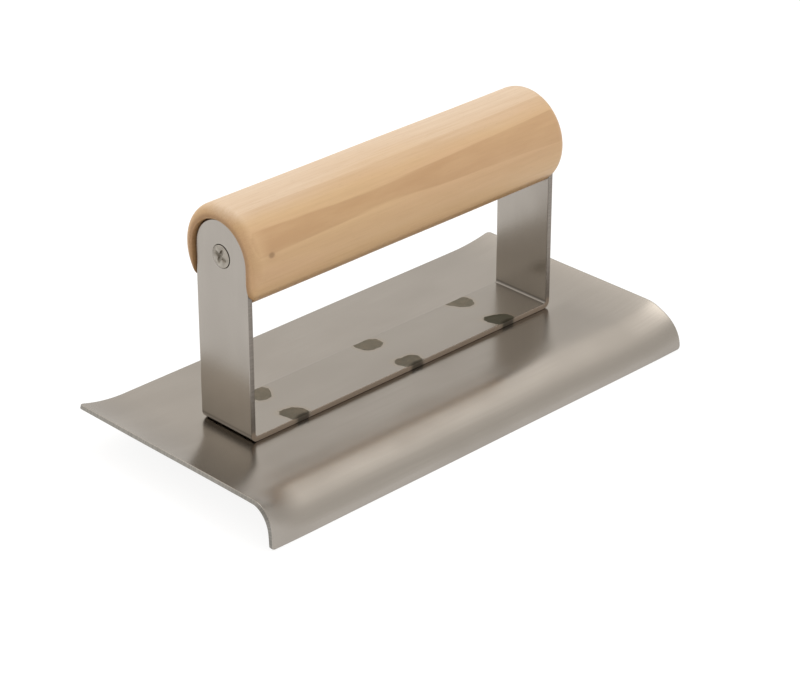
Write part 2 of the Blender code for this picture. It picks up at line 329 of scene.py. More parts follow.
# %% Blade mesh
BACK_CORNER = 1.2 * MM
LIP_CORNER = 0.9 * MM
SUPPORT = 0.4 * MM
LIP_STRETCH = 20 * MM

half_length = BLADE_LENGTH / 2
end_start = half_length - END_LENGTH
half_columns = spaced((0, end_start, 30), (end_start, half_length - SUPPORT, 36),
                      (half_length - SUPPORT, half_length, 1))
columns = np.unique(np.concatenate([-half_columns, half_columns]))
lip_start = BLANK_WIDTH - LIP_STRETCH
rows = spaced((0, SUPPORT, 2), (SUPPORT, 2 * BACK_CORNER, 6), (2 * BACK_CORNER, lip_start, 24),
              (lip_start, BLANK_WIDTH - LIP_CORNER, 76),
              (BLANK_WIDTH - LIP_CORNER, BLANK_WIDTH - SUPPORT, 5), (BLANK_WIDTH - SUPPORT, BLANK_WIDTH, 2))
across = np.repeat(rows[:, None], len(columns), axis=1)
inset = corner_inset(rows, BACK_CORNER) + corner_inset(BLANK_WIDTH - rows, LIP_CORNER)
along = columns[None, :] * (1 - inset[:, None] / half_length)
top = press_blade(along, across).reshape(-1, 3)
top_faces = grid_faces(*along.shape)[:, ::-1]
upward = point_normals(top, top_faces)
upward *= np.sign(upward[:1, 2:])
rolling = np.stack([along, across, 0 * along], axis=-1).reshape(-1, 3)
sheet = close_sheet(top, top - BLADE_THICKNESS * upward, top_faces, {"rolling": rolling})
blade = new_piece("pressed_blade", "blade_steel", ["blade"], *sheet)

# %% [markdown]
# ## The folded strap
#
# The bracket is one strip of steel with round ends and a countersunk hole in each, folded up twice. It is
# drawn flat first, as a blank: a plain grid between the holes, and round each hole a ring of rays that run
# out to the blank's edge. Folding is then one formula for the whole blank, whatever its grid looks like.

# %% Strap blank
STRAP_THICKNESS = 1.5 * MM
BEND_RADIUS = 0.5 * MM
CAP_LENGTH = 11.0 * MM
OUTER_BEND = BEND_RADIUS + STRAP_THICKNESS
STRAP_BASE = UPRIGHT_FACE - OUTER_BEND
BEND_LENGTH = OUTER_BEND * math.pi / 2
HOLE_PLACE = STRAP_BASE + BEND_LENGTH + AXIS_HEIGHT - STRAP_BOTTOM - OUTER_BEND
RAY_STEPS = np.array([0, 0.04, 0.08, 0.15, 0.3, 0.5, 0.7, 0.85, 0.95, 1])

bend_end = STRAP_BASE + BEND_LENGTH
half_strip = spaced((0, STRAP_BASE, 150), (STRAP_BASE, bend_end, 12), (bend_end, HOLE_PLACE - CAP_LENGTH, 30))
strip_along = np.unique(np.concatenate([-half_strip, half_strip]))
half_across = spaced((0, STRAP_HALF_WIDTH - SUPPORT, 27), (STRAP_HALF_WIDTH - SUPPORT, STRAP_HALF_WIDTH, 1))
strip_across = np.unique(np.concatenate([-half_across, half_across]))


def cap_outline():
    """The edge round one end, anticlockwise about its hole: half circle, side, line across, side."""
    turn = np.linspace(-math.pi / 2, math.pi / 2, 97)
    side = np.linspace(0, CAP_LENGTH, 23)[1:-1]
    width = STRAP_HALF_WIDTH
    arc = np.stack([width * np.cos(turn), width * np.sin(turn)], axis=-1)
    down = np.stack([-side, np.full_like(side, width)], axis=-1)
    foot = np.stack([np.full_like(strip_across, -CAP_LENGTH), strip_across[::-1]], axis=-1)
    up = np.stack([-side[::-1], np.full_like(side, -width)], axis=-1)
    return np.concatenate([arc, down, foot, up])


def strap_blank(hole_radius):
    """Points of the flat blank: the strip's grid, then a ring of rays from each hole to the edge round it."""
    outline = cap_outline()
    hole = hole_radius * unit(outline)
    rays = hole[None] + (outline - hole)[None] * RAY_STEPS[:, None, None]
    strip = np.stack(np.meshgrid(strip_along, strip_across, indexing="ij"), axis=-1)
    right = rays.reshape(-1, 2) + (HOLE_PLACE, 0)
    return np.concatenate([strip.reshape(-1, 2), right, right * (-1, 1)])


def strap_faces():
    """Quads of the blank: a ring's outermost points on the line across are the strip's own end points."""
    outline = cap_outline()
    foot = np.flatnonzero(outline[:, 0] == -CAP_LENGTH)
    strip = np.arange(len(strip_along) * len(strip_across)).reshape(len(strip_along), len(strip_across))
    right = strip.size + np.arange(len(RAY_STEPS) * len(outline)).reshape(len(RAY_STEPS), len(outline))
    left = right + right.size
    right[-1, foot] = strip[-1, ::-1]
    left[-1, foot] = strip[0, ::-1]
    ring = grid_faces(*right.shape, wrap=True)
    return np.concatenate([grid_faces(*strip.shape), right.ravel()[ring], left.ravel()[ring][:, ::-1]])


used_points, blank_faces = np.unique(strap_faces(), return_inverse=True)
blank_faces = blank_faces.reshape(-1, 4)
print(f"strap blank {2 * (HOLE_PLACE + STRAP_HALF_WIDTH) / MM:.1f} mm long")

# %% [markdown]
# Each spot weld leaves a shallow dent and a dull, burnt patch on the strap. The patches are uneven: a disc
# with a drawn-out corner, no two alike, and some of them slid a little off the weld. For every point of the
# blank the fields below give how far it lies from the nearest weld, as a share of that patch's own radius in
# that direction, how hard that weld burnt, and how close the point is to a burnt spot on the front edge.

# %% Weld marks
WELD_RADIUS = 3.35 * MM
CORNER_TOWARD = math.radians(137)
CORNER_POWER = 7
CORNER_SHARE = 0.42
BURN_LENGTH = 3.2 * MM
BURN_REACH = 1.5 * MM
BURN_SHIFT = 0.6 * MM
MARK_SHIFTS = {"spot_weld_back_middle": (1.9, 0.0), "spot_weld_back_right": (-0.3, 0.6),
               "spot_weld_front_left": (-0.2, -1.0), "spot_weld_front_middle": (3.2, -1.2),
               "spot_weld_front_right": (0.2, -0.9)}

weld_names = sorted(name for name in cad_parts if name.startswith("spot_weld"))
weld_boxes = [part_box(name) for name in weld_names]
weld_places = np.array([[(low.x + high.x) / 2, (low.y + high.y) / 2] for low, high in weld_boxes])
weld_places = weld_places + np.array([MARK_SHIFTS.get(name, (0.0, 0.0)) for name in weld_names]) * MM
weld_numbers = np.arange(len(weld_names))
print(f"{len(weld_names)} weld marks")


def weld_distances(along, across):
    """Distance from each weld's centre over the radius of its patch.

    The radius is a disc's, plus a corner that grows with a high power of the cosine of the angle to it,
    plus two slow waves round the patch whose phases differ from weld to weld.
    """
    offset = np.stack([along, across], axis=-1)[:, None, :] - weld_places
    angle = np.arctan2(offset[..., 1], offset[..., 0])
    corner = np.maximum(0, np.cos(angle - CORNER_TOWARD)) ** CORNER_POWER
    waves = 0.07 * np.sin(2 * angle + 1.7 * weld_numbers) + 0.05 * np.sin(3 * angle + 2.9 * weld_numbers)
    return np.linalg.norm(offset, axis=-1) / (WELD_RADIUS * (1 + CORNER_SHARE * corner + waves))


def edge_burn(along, across):
    """Soft spots where the front welds broke out at the strap's edge: a bell curve in each direction."""
    front = weld_places[weld_places[:, 1] < 0, 0] + BURN_SHIFT
    lengthwise = ((along[:, None] - front) / BURN_LENGTH) ** 2
    inwards = ((across + STRAP_HALF_WIDTH) / BURN_REACH) ** 2
    return np.exp(-lengthwise - inwards[:, None]).max(axis=1)


# %% [markdown]
# Folding keeps lengths on the outer skin. Past the base, a point goes round the bend by its length over the
# outer radius, and what is left over goes straight up. A skin that lies deeper in the sheet has a smaller
# radius there. Welding drew the base down on the blade, so the base also sinks by a small seat.

# %% Strap mesh
SCREW_HEAD_RADIUS = 3.05 * MM
SCREW_GAP = 0.2 * MM
SEAT = 0.27 * MM
DENT_DEPTH = 0.12 * MM
DENT_WALL = 0.25
FAR_FROM_WELDS = 3
HARDEST_WELD = "spot_weld_front_right"


def fold_strap(blank, depth):
    """Fold the blank: straight along the base, round each bend, then straight up the upright.

    The base goes down by the seat, which fades out round each bend with the cosine of the angle.
    """
    along, across = blank.T
    past = np.abs(along) - STRAP_BASE
    angle = np.clip(past / OUTER_BEND, 0, math.pi / 2)
    radius = OUTER_BEND - depth
    x = np.minimum(np.abs(along), STRAP_BASE) + radius * np.sin(angle)
    z = STRAP_BOTTOM + OUTER_BEND - (radius + SEAT) * np.cos(angle) + np.maximum(0, past - BEND_LENGTH)
    return np.stack([np.copysign(x, along), across, z], axis=-1)


mouth = SCREW_HEAD_RADIUS + SCREW_GAP
outer_blank = strap_blank(mouth)[used_points]
inner_blank = strap_blank(mouth - STRAP_THICKNESS)[used_points]
distances = weld_distances(*inner_blank.T)
nearest = distances.min(axis=1)
dent = DENT_DEPTH * np.clip((1.0 - nearest) / DENT_WALL, 0, 1)
strap_fields = {"rolling": np.column_stack([outer_blank, 0 * nearest]),
                "weld_distance": np.minimum(nearest, FAR_FROM_WELDS),
                "weld_soot": (distances.argmin(axis=1) == weld_names.index(HARDEST_WELD)).astype(float),
                "edge_burn": edge_burn(*inner_blank.T)}
sheet = close_sheet(fold_strap(outer_blank, 0), fold_strap(inner_blank, STRAP_THICKNESS - dent),
                    blank_faces, strap_fields)
strap = new_piece("folded_strap", "bracket_steel", ["handle_bracket"], *sheet)

# %% [markdown]
# ## The turned grip
#
# The grip is turned on a lathe, and a round-topped slot is then milled into each end for the upright. In any
# plane through the axis its outline is one line: up the screw's hole, across the slot's floor, up the slot's
# wall, over the rounded end and along the barrel. Only the wall's radius changes with the angle, because the
# slot is round at the top and straight at the sides, so the whole grip is one grid of angle by outline.

# %% Grip outline
GRIP_ROUNDING = 3.0 * MM
SLOT_SIDE_GAP = 0.4 * MM
SLOT_FLOOR_GAP = 0.3 * MM
SLOT_HALF_WIDTH = STRAP_HALF_WIDTH + SLOT_SIDE_GAP
SLOT_FLOOR = UPRIGHT_FACE - STRAP_THICKNESS - SLOT_FLOOR_GAP
SLOT_ARRIS = 0.35 * MM
PILOT_RADIUS = 2.05 * MM
PILOT_DEPTH = 20.3 * MM
PILOT_END = UPRIGHT_FACE - PILOT_DEPTH
PILOT_POINT = 4.0 * MM
SHOULDER = GRIP_RADIUS - GRIP_ROUNDING
ROUNDING_START = GRIP_HALF - GRIP_ROUNDING
OPEN_RADIUS = SHOULDER + math.sqrt(GRIP_ROUNDING ** 2 - (SLOT_FLOOR - GRIP_HALF + GRIP_ROUNDING) ** 2)


def end_height(radius):
    """How far along the axis the grip's end reaches at a radius: flat, then a quarter round."""
    into = np.clip(radius - SHOULDER, 0, GRIP_ROUNDING)
    return ROUNDING_START + np.sqrt(GRIP_ROUNDING ** 2 - into ** 2)


def slot_wall(angle):
    """Radius of the slot's wall at an angle from the top: a circle, straight sides below, then open."""
    straight = SLOT_HALF_WIDTH / np.maximum(np.abs(np.sin(angle)), 0.05)
    return np.minimum(np.where(np.cos(angle) >= 0, SLOT_HALF_WIDTH, straight), OPEN_RADIUS)


def grip_outline(angle):
    """Half outline for each angle: radius, place on the axis, share of end grain, way past the slot's wall.

    The slot's edge is a quarter circle between its wall and the end, which shrinks where there is little
    room for it.
    """
    wall = slot_wall(angle)[:, None]
    one = np.ones_like(wall)
    room = np.minimum(end_height(wall) - SLOT_FLOOR, GRIP_RADIUS - wall)
    arris = np.clip(0.8 * room, 0, SLOT_ARRIS)
    turn = np.linspace(0, math.pi / 2, 6)
    lip = wall + arris * (1 - np.cos(turn))
    lip_height = end_height(lip) - arris * (1 - np.sin(turn))
    floor = PILOT_RADIUS + (wall - PILOT_RADIUS) * np.linspace(0, 1, 9)
    wall_height = SLOT_FLOOR + (lip_height[:, :1] - SLOT_FLOOR) * np.linspace(0, 1, 7)[1:-1]
    bow = np.arcsin(np.clip((lip[:, -1:] - SHOULDER) / GRIP_ROUNDING, 0, 1))
    swing = bow + (math.pi / 2 - bow) * np.linspace(0, 1, 19)[1:]
    barrel = np.linspace(ROUNDING_START, 0, 61)[1:]
    radius = [0 * one, PILOT_RADIUS * one, floor, wall * np.ones(5), lip,
              SHOULDER + GRIP_ROUNDING * np.sin(swing), GRIP_RADIUS * one * np.ones(60)]
    place = [PILOT_END * one, (PILOT_END + PILOT_POINT) * one, SLOT_FLOOR * one * np.ones(9), wall_height,
             lip_height, ROUNDING_START + GRIP_ROUNDING * np.cos(swing), barrel * one]
    end_grain = [one * np.ones(22), np.cos(swing) ** 2, 0 * one * np.ones(60)]
    radius, place, end_grain = [np.concatenate(part, axis=1) for part in (radius, place, end_grain)]
    return radius, place, end_grain, np.maximum(0, radius - wall)


# %% Grip mesh
TURNING_WAVE = 0.025 * MM


def turned_piece(name, slot, node, place, radius, angle, fields):
    """A piece about the grip's axis: each point has a place along it, a radius and an angle from the top."""
    points = np.stack([place, radius * np.sin(angle), AXIS_HEIGHT + radius * np.cos(angle)], axis=-1)
    faces = grid_faces(points.shape[1], points.shape[0], wrap=True)
    fields = {key: values.T.ravel() for key, values in fields.items()}
    return new_piece(name, slot, [node], points.transpose(1, 0, 2).reshape(-1, 3), faces, fields)


corner_angle = math.pi - math.asin(SLOT_HALF_WIDTH / OPEN_RADIUS)
half_turn = spaced((0, math.pi / 2, 56), (math.pi / 2, corner_angle, 40), (corner_angle, math.pi, 30))
angles = np.concatenate([half_turn, -half_turn[-2:0:-1]])[:, None]
radius, place, end_grain, past_slot = grip_outline(angles[:, 0])
place = np.concatenate([place, -place[:, -2::-1]], axis=1)
radius, end_grain, past_slot = [np.concatenate([half, half[:, -2::-1]], axis=1)
                                for half in (radius, end_grain, past_slot)]
on_barrel = radius > GRIP_RADIUS - 0.01 * MM
radius = radius + TURNING_WAVE * np.sin(place / (8.3 * MM) + 1.1 * np.sin(angles + 0.6)) * on_barrel
grip = turned_piece("turned_grip", "grip_wood", "handle_grip", place, radius, angles,
                    {"end_grain": end_grain, "past_slot": past_slot / MM})

# %% [markdown]
# ## The two wood screws
#
# A countersunk screw with a low dome and a cross recess holds the grip at each end. The head, the cone and
# the threaded shank are again one grid of angle by outline: the recess lowers the dome near two crossed
# lines, and the thread is a ridge whose phase advances with the angle.

# %% Screw outline
DOME = 0.45 * MM
HEAD_EDGE = 0.2 * MM
SHANK_RADIUS = 1.75 * MM
SCREW_LENGTH = 20.0 * MM
SCREW_POINT = 4.0 * MM
PLAIN_SHANK = 3.0 * MM
SHANK_FADE = 1.5 * MM
THREAD_PITCH = 1.4 * MM
THREAD_HEIGHT = 0.4 * MM
RECESS_DEPTH = 0.8 * MM
RECESS_ARM = 2.2 * MM
RECESS_WIDTH = 0.65 * MM
RECESS_WALL = 0.3 * MM
RECESS_TIP = 0.5 * MM


def recess(radius, angle):
    """Depth of the cross recess: full in the middle, shallower along each arm, with steep walls beside it."""
    nearest = np.abs((angle + math.pi / 4) % (math.pi / 2) - math.pi / 4)
    along, beside = radius * np.cos(nearest), radius * np.sin(nearest)
    width = RECESS_WIDTH * (1.15 - 0.4 * along / RECESS_ARM)
    wall = np.clip((width - beside) / RECESS_WALL, 0, 1)
    tip = np.clip((RECESS_ARM - along) / RECESS_TIP, 0, 1)
    return RECESS_DEPTH * wall * tip * (1 - 0.45 * np.clip(along / RECESS_ARM, 0, 1))


def screw_outline(angle, head_turn):
    """Radius, height over the upright's face and recess depth, from the middle of the dome to the point.

    The dome falls with the square of the radius and the cone at 45 degrees. The thread is a triangle in the
    phase, which starts below a plain shank and tapers off at the point.
    """
    head = np.linspace(0, SCREW_HEAD_RADIUS - HEAD_EDGE, 52)
    dome = DOME * (1 - 0.75 * (head / SCREW_HEAD_RADIUS) ** 2)
    sunk = recess(head, angle + head_turn)
    turn = np.linspace(0, math.pi / 2, 5)[1:]
    edge = SCREW_HEAD_RADIUS - HEAD_EDGE * (1 - np.sin(turn))
    edge_height = dome[-1] * np.cos(turn)
    cone = np.linspace(SCREW_HEAD_RADIUS, SHANK_RADIUS, 8)[1:]
    neck = SHANK_RADIUS - SCREW_HEAD_RADIUS
    down = np.linspace(neck, -SCREW_LENGTH, 150)[1:]
    taper = np.clip((down + SCREW_LENGTH) / SCREW_POINT, 0, 1)
    phase = (down / THREAD_PITCH + angle / (2 * math.pi)) % 1
    starts = np.clip((neck - PLAIN_SHANK - down) / SHANK_FADE, 0, 1)
    plain = np.clip((down - neck + PLAIN_SHANK + SHANK_FADE) / SHANK_FADE, 0, 1)
    ridge = THREAD_HEIGHT * np.maximum(np.maximum(0, 1 - np.abs(phase - 0.5) * 5) * starts * taper, plain)
    shank = taper * (SHANK_RADIUS - THREAD_HEIGHT) + ridge
    one = np.ones_like(angle)
    radius = np.concatenate([head * one, edge * one, cone * one, shank], axis=1)
    below = np.concatenate([edge_height, cone - SCREW_HEAD_RADIUS, down])
    level = np.concatenate([dome - sunk, below * one], axis=1)
    depth = np.concatenate([sunk / RECESS_DEPTH, 0 * below * one], axis=1)
    return radius, level, depth


# %% Screws
HEAD_TURNS = {"left": math.radians(24), "right": math.radians(-9)}
turns = np.linspace(0, 2 * math.pi, 144, endpoint=False)[:, None]
screws = []
for side, outward in (("left", -1), ("right", 1)):
    radius, level, depth = screw_outline(turns, HEAD_TURNS[side])
    screws.append(turned_piece(f"{side}_wood_screw", "screw_steel", f"{side}_screw",
                               outward * (UPRIGHT_FACE + level), radius, turns, {"recess": depth}))

# %% [markdown]
# ## Helpers for finishes
#
# A finish is a tree of nodes. These helpers keep such a tree readable as code: each one adds a node, gives
# its inputs either a value or another node's output, and hands back the new output.

# %% Nodes as calls
def put(tree, kind, inputs=None, **settings):
    """Add a node, apply its settings, and set or link its inputs by name or number."""
    node = tree.nodes.new(kind)
    for name, value in settings.items():
        setattr(node, name, value)
    for key, value in (inputs or {}).items():
        if isinstance(value, bpy.types.NodeSocket):
            tree.links.new(value, node.inputs[key])
        else:
            node.inputs[key].default_value = value
    return node


def calc(tree, operation, *values):
    """One step of arithmetic on values or outputs."""
    return put(tree, "ShaderNodeMath", dict(enumerate(values)), operation=operation).outputs[0]


def product(tree, first, *others):
    """Values multiplied with each other, as masks are."""
    for other in others:
        first = calc(tree, "MULTIPLY", first, other)
    return first


def vector(tree, operation, *values, output=0):
    """One step of arithmetic on places; a length or distance comes out as the output "Value"."""
    return put(tree, "ShaderNodeVectorMath", dict(enumerate(values)), operation=operation).outputs[output]


def axes(tree, place):
    """The three parts of a place."""
    return put(tree, "ShaderNodeSeparateXYZ", {0: place}).outputs


def fade(tree, value, start, end, low=0.0, high=1.0):
    """low up to start, high past end, and a smooth step between."""
    inputs = {"Value": value, "From Min": start, "From Max": end, "To Min": low, "To Max": high}
    return put(tree, "ShaderNodeMapRange", inputs, interpolation_type="SMOOTHSTEP").outputs[0]


def tint(tree, mask, first, second, blend="MIX"):
    """Go from one colour to a second, or to their product with the blend MULTIPLY, where the mask is 1."""
    inputs = {0: mask}
    for key, colour in ((6, first), (7, second)):
        inputs[key] = (*colour, 1.0) if isinstance(colour, tuple) else colour
    return put(tree, "ShaderNodeMix", inputs, data_type="RGBA", blend_type=blend).outputs[2]


def coats(tree, colour, *layers):
    """Lay colours over a first one, each given after the mask that says where it covers."""
    for mask, coat in layers:
        colour = tint(tree, mask, colour, coat)
    return colour


# %% Patterns and places
def noise(tree, place, scale, detail=2.0):
    """Noise with one scale, or with a scale for each direction, which draws it out into streaks."""
    scales = scale if isinstance(scale, tuple) else (scale, scale, scale)
    stretched = put(tree, "ShaderNodeMapping", {"Vector": place, "Scale": scales}).outputs[0]
    return put(tree, "ShaderNodeTexNoise", {"Vector": stretched, "Scale": 1.0, "Detail": detail}).outputs[0]


def field(tree, name, output="Fac"):
    """A piece's own field of numbers or vectors, by the name it was stored under."""
    return put(tree, "ShaderNodeAttribute", attribute_name=name).outputs[output]


def millimetres(tree, place, origin=(0.0, 0.0, 0.0)):
    """A place in millimetres from an origin, so that the scales of patterns are plain sizes."""
    return vector(tree, "MULTIPLY", vector(tree, "SUBTRACT", place, origin), (1000.0, 1000.0, 1000.0))


def own_place(tree, origin=(0.0, 0.0, 0.0)):
    """The place on a piece, in millimetres from an origin."""
    return millimetres(tree, put(tree, "ShaderNodeTexCoord").outputs["Object"], origin)


# %% Groups and materials
def new_group(name, inputs, outputs):
    """An empty shader group with named sockets: its tree, its inputs, and what takes its outputs."""
    group = bpy.data.node_groups.new(name, "ShaderNodeTree")
    for socket, kind in inputs.items():
        group.interface.new_socket(socket, in_out="INPUT", socket_type=f"NodeSocket{kind}")
    for socket, kind in outputs.items():
        group.interface.new_socket(socket, in_out="OUTPUT", socket_type=f"NodeSocket{kind}")
    return group, group.nodes.new("NodeGroupInput").outputs, group.nodes.new("NodeGroupOutput").inputs


def give_out(group, leave, **values):
    """Link values to a group's named outputs."""
    for name, value in values.items():
        group.links.new(value, leave[name])
    print(f"group {group.name}: {', '.join(values)}")


def use(tree, group, **inputs):
    """Place a group in a material, with its named inputs: the group's outputs."""
    return put(tree, "ShaderNodeGroup", inputs, node_tree=group).outputs


def new_material(name, metallic):
    """A material with one Principled shader: the material, its tree and the shader's inputs."""
    material = bpy.data.materials.new(name)
    material.use_nodes = True
    shader = material.node_tree.nodes["Principled BSDF"]
    shader.inputs["Metallic"].default_value = metallic
    return material, material.node_tree, shader.inputs


def finish_shader(tree, shader, colour, rough, height, relief):
    """Link colour and roughness, and turn the height, in units of relief, into a bump."""
    tree.links.new(colour, shader["Base Color"])
    tree.links.new(rough, shader["Roughness"])
    bump = put(tree, "ShaderNodeBump", {"Height": height, "Distance": relief, "Strength": 1.0})
    tree.links.new(bump.outputs[0], shader["Normal"])


def dress(material, *pieces):
    """Give new pieces one material."""
    for piece in pieces:
        piece.data.materials.append(material)
    print(f"{material.name}: {', '.join(piece.name for piece in pieces)}")


# %% [markdown]
# ## What all sheet steel shares
#
# Rolled sheet has fine lines along the way it went through the rolls, slow clouds where oil and hands dulled
# it, and a few hairline scratches from stacking. Blade and strap are cut from such sheet, so this is one
# group for both. It reads the place on the flat blank, which was stored with the mesh: the lines then follow
# the sheet round every bend.

# %% Rolled sheet group
LINE_SCALE = (0.02, 1.6, 1.0)
CLOUD_SCALE = (0.03, 0.06, 1.0)
SCRATCH_SETS = [(math.radians(58), (0.05, 3.0, 1.0)), (math.radians(-19), (0.06, 3.4, 1.0))]

rolled_sheet, entry, leave = new_group(
    "rolled sheet", {"Blank": "Vector"}, {"Lines": "Float", "Clouds": "Float", "Scratches": "Float"})
blank_place = millimetres(rolled_sheet, entry["Blank"])
scratches = []
for turn, scale in SCRATCH_SETS:
    turn_inputs = {"Vector": blank_place, "Rotation": (0, 0, turn)}
    turned = put(rolled_sheet, "ShaderNodeMapping", turn_inputs).outputs[0]
    scratches.append(fade(rolled_sheet, noise(rolled_sheet, turned, scale, 0.0), 0.77, 0.84))
give_out(rolled_sheet, leave, Lines=noise(rolled_sheet, blank_place, LINE_SCALE, 1.0),
         Clouds=noise(rolled_sheet, blank_place, CLOUD_SCALE, 2.0),
         Scratches=calc(rolled_sheet, "MAXIMUM", *scratches))

# %% [markdown]
# A sheared side looks nothing like the rolled face: the blade of the shears drags over it and leaves it
# dull, darker and streaked across its thickness. The same group serves both sheets, with the colour and the
# darkness set outside.

# %% Sheared side group
sheared_side, entry, leave = new_group(
    "sheared side", {"Sheared": "Float", "Blank": "Vector"}, {"Mask": "Float", "Drag": "Float"})
edge_place = millimetres(sheared_side, entry["Blank"])
give_out(sheared_side, leave, Mask=fade(sheared_side, entry["Sheared"], 0.35, 0.95),
         Drag=noise(sheared_side, edge_place, 2.6, 4.0))

# %% [markdown]
# Where a weld got hot, the steel is covered by a thin oxide: grey-brown with a greenish cast, mottled and
# matt. The strap shows it in its patches, and the nuggets between the sheets are covered by it all over.

# %% Burnt skin group
GREY_OXIDE = (0.147, 0.135, 0.103)
BROWN_OXIDE = (0.183, 0.157, 0.119)
OXIDE_SPECK = (0.087, 0.078, 0.059)
SOOT = (0.082, 0.079, 0.055)

burnt_skin, entry, leave = new_group(
    "burnt skin", {"Place": "Vector", "Soot": "Float"}, {"Color": "Color", "Roughness": "Float"})
mottle = noise(burnt_skin, entry["Place"], 0.55, 5.0)
specks = noise(burnt_skin, entry["Place"], 3.1, 3.0)
oxide = coats(burnt_skin, GREY_OXIDE, (fade(burnt_skin, mottle, 0.3, 0.7), BROWN_OXIDE),
              (fade(burnt_skin, specks, 0.52, 0.72, 0.0, 0.45), OXIDE_SPECK), (entry["Soot"], SOOT))
give_out(burnt_skin, leave, Color=oxide, Roughness=fade(burnt_skin, specks, 0.3, 0.7, 0.48, 0.66))

# %% [markdown]
# ## Blade steel
#
# The blade is bare rolled steel, bright but not polished. A metal's look is nearly all reflection, so the
# colour changes little: the clouds work mostly on the roughness, and the lines barely tilt the surface. One
# function puts the shared groups together, because the strap starts from the same steel.

# %% Sheet steel
STEEL = (0.392, 0.362, 0.325)
DULL_STEEL = (0.362, 0.333, 0.298)
SCRATCHED_STEEL = (0.48, 0.44, 0.39)
STEEL_DULLNESS = 0.235
CLOUD_DULLNESS = 0.02
SHEAR_DULLNESS = 0.46
DRAG_SHADE = 0.75
BRUSHING = 0.001 * MM


def sheet_steel(tree, shear_colour):
    """Colour, roughness and height of sheet steel: the rolled face, with the sheared side over it."""
    blank = field(tree, "rolling", "Vector")
    face = use(tree, rolled_sheet, Blank=blank)
    side = use(tree, sheared_side, Sheared=field(tree, "sheared"), Blank=blank)
    dark = tuple(DRAG_SHADE * channel for channel in shear_colour)
    dragged = tint(tree, fade(tree, side["Drag"], 0.35, 0.65), dark, shear_colour)
    colour = coats(tree, STEEL, (fade(tree, face["Clouds"], 0.35, 0.68), DULL_STEEL),
                   (fade(tree, face["Lines"], 0.42, 0.62, 0.0, 0.35), DULL_STEEL),
                   (product(tree, face["Scratches"], 0.03), SCRATCHED_STEEL), (side["Mask"], dragged))
    least, most = STEEL_DULLNESS - CLOUD_DULLNESS, STEEL_DULLNESS + CLOUD_DULLNESS
    rough = fade(tree, face["Clouds"], 0.3, 0.7, least, most)
    rough = calc(tree, "MULTIPLY_ADD", face["Scratches"], 0.01, rough)
    rough = calc(tree, "MAXIMUM", rough, product(tree, side["Mask"], SHEAR_DULLNESS))
    height = calc(tree, "MULTIPLY_ADD", product(tree, side["Mask"], side["Drag"]), 0.5, face["Lines"])
    return colour, rough, height


# %% [markdown]
# The rolling lines run along the blade, and they blur a reflection far more across themselves than along. A
# bump that fine would only give noise, so the shader's gloss is stretched instead, by a UV map that follows
# the lines. On the flat the steel is smoother than on the lip, where the press worked it, and mirrors the
# uprights with clear edges. A strip in front of the strap is painted a shade darker: painted shade where the
# flat mirrors the strap and the grip.

# %% Blade finish
BLADE_SHEAR = (0.36, 0.342, 0.313)
BLADE_STRETCH = 1.0
FLAT_POLISH = 0.085
FLAT_TO_LIP = (55.0, 62.5)
# Painted shade on a strip of the flat in front of the strap.
FRONT_STRIP_PAINTED_SHADE = (0.905, 0.905, 0.905)
PAINTED_SHADE_BACK = (43.0, 47.0)
PAINTED_SHADE_FRONT = (63.5, 58.0)
PAINTED_SHADE_ENDS = (66.0, 56.0)


def stretch_gloss(piece, tree, shader, amount):
    """Stretch the gloss by a UV map in millimetres: U across the rolling lines, V along them."""
    mesh = piece.data
    blank = np.empty(3 * len(mesh.vertices), np.float32)
    mesh.attributes["rolling"].data.foreach_get("vector", blank)
    corners = np.empty(len(mesh.loops), np.int32)
    mesh.loops.foreach_get("vertex_index", corners)
    grain = blank.reshape(-1, 3)[corners][:, [1, 0]] / MM
    mesh.uv_layers.new(name="grain").data.foreach_set("uv", grain.ravel())
    shader["Anisotropic"].default_value = amount
    tangent = put(tree, "ShaderNodeTangent", direction_type="UV_MAP", uv_map="grain")
    tree.links.new(tangent.outputs[0], shader["Tangent"])


blade_steel, tree, shader = new_material("blade steel", 1.0)
colour, rough, height = sheet_steel(tree, BLADE_SHEAR)
blank_along, blank_across, _ = axes(tree, millimetres(tree, field(tree, "rolling", "Vector")))
rough = calc(tree, "ADD", rough, fade(tree, blank_across, *FLAT_TO_LIP, -FLAT_POLISH, 0.0))
# Painted shade: the strip in front of the strap is darkened, where the flat mirrors the strap and the grip.
painted_shade_strip = product(tree, fade(tree, blank_across, *PAINTED_SHADE_BACK), fade(tree, blank_across, *PAINTED_SHADE_FRONT),
                fade(tree, calc(tree, "ABSOLUTE", blank_along), *PAINTED_SHADE_ENDS))
colour = tint(tree, painted_shade_strip, colour, FRONT_STRIP_PAINTED_SHADE, "MULTIPLY")
finish_shader(tree, shader, colour, rough, height, BRUSHING)
stretch_gloss(blade, tree, shader, BLADE_STRETCH)
dress(blade_steel, blade)

# %% [markdown]
# ## Strap steel
#
# The strap is the same sheet with an even gloss and the weld patches on top. A patch has a crisp but ragged
# edge, so the stored distance is shaken by a little noise before it is cut at 1. A faint straw-coloured ring
# shows how far the heat went, and the burnt spots on the front edge are nearly black. The base is painted a
# shade darker towards the bottom, and the two inner corners of the bends darker still: both are painted
# shade. Brown dirt lies on the sheared side where the strap meets the blade. Dirt is no metal, so the
# Metallic input drops there.

# %% Strap finish
STRAP_SHEAR = (0.30, 0.27, 0.24)
# Painted shade: the base darker towards the bottom, the inner corners of the bends darker still.
BASE_PAINTED_SHADE = (0.27, 0.25, 0.222)
CORNER_PAINTED_SHADE = (0.12, 0.108, 0.096)
STRAW = (0.36, 0.30, 0.225)
SCORCHED = (0.036, 0.029, 0.018)
SCORCH_DULLNESS = 0.6
SEAM_DIRT = (0.30, 0.236, 0.182)
BEND_START = STRAP_BASE / MM

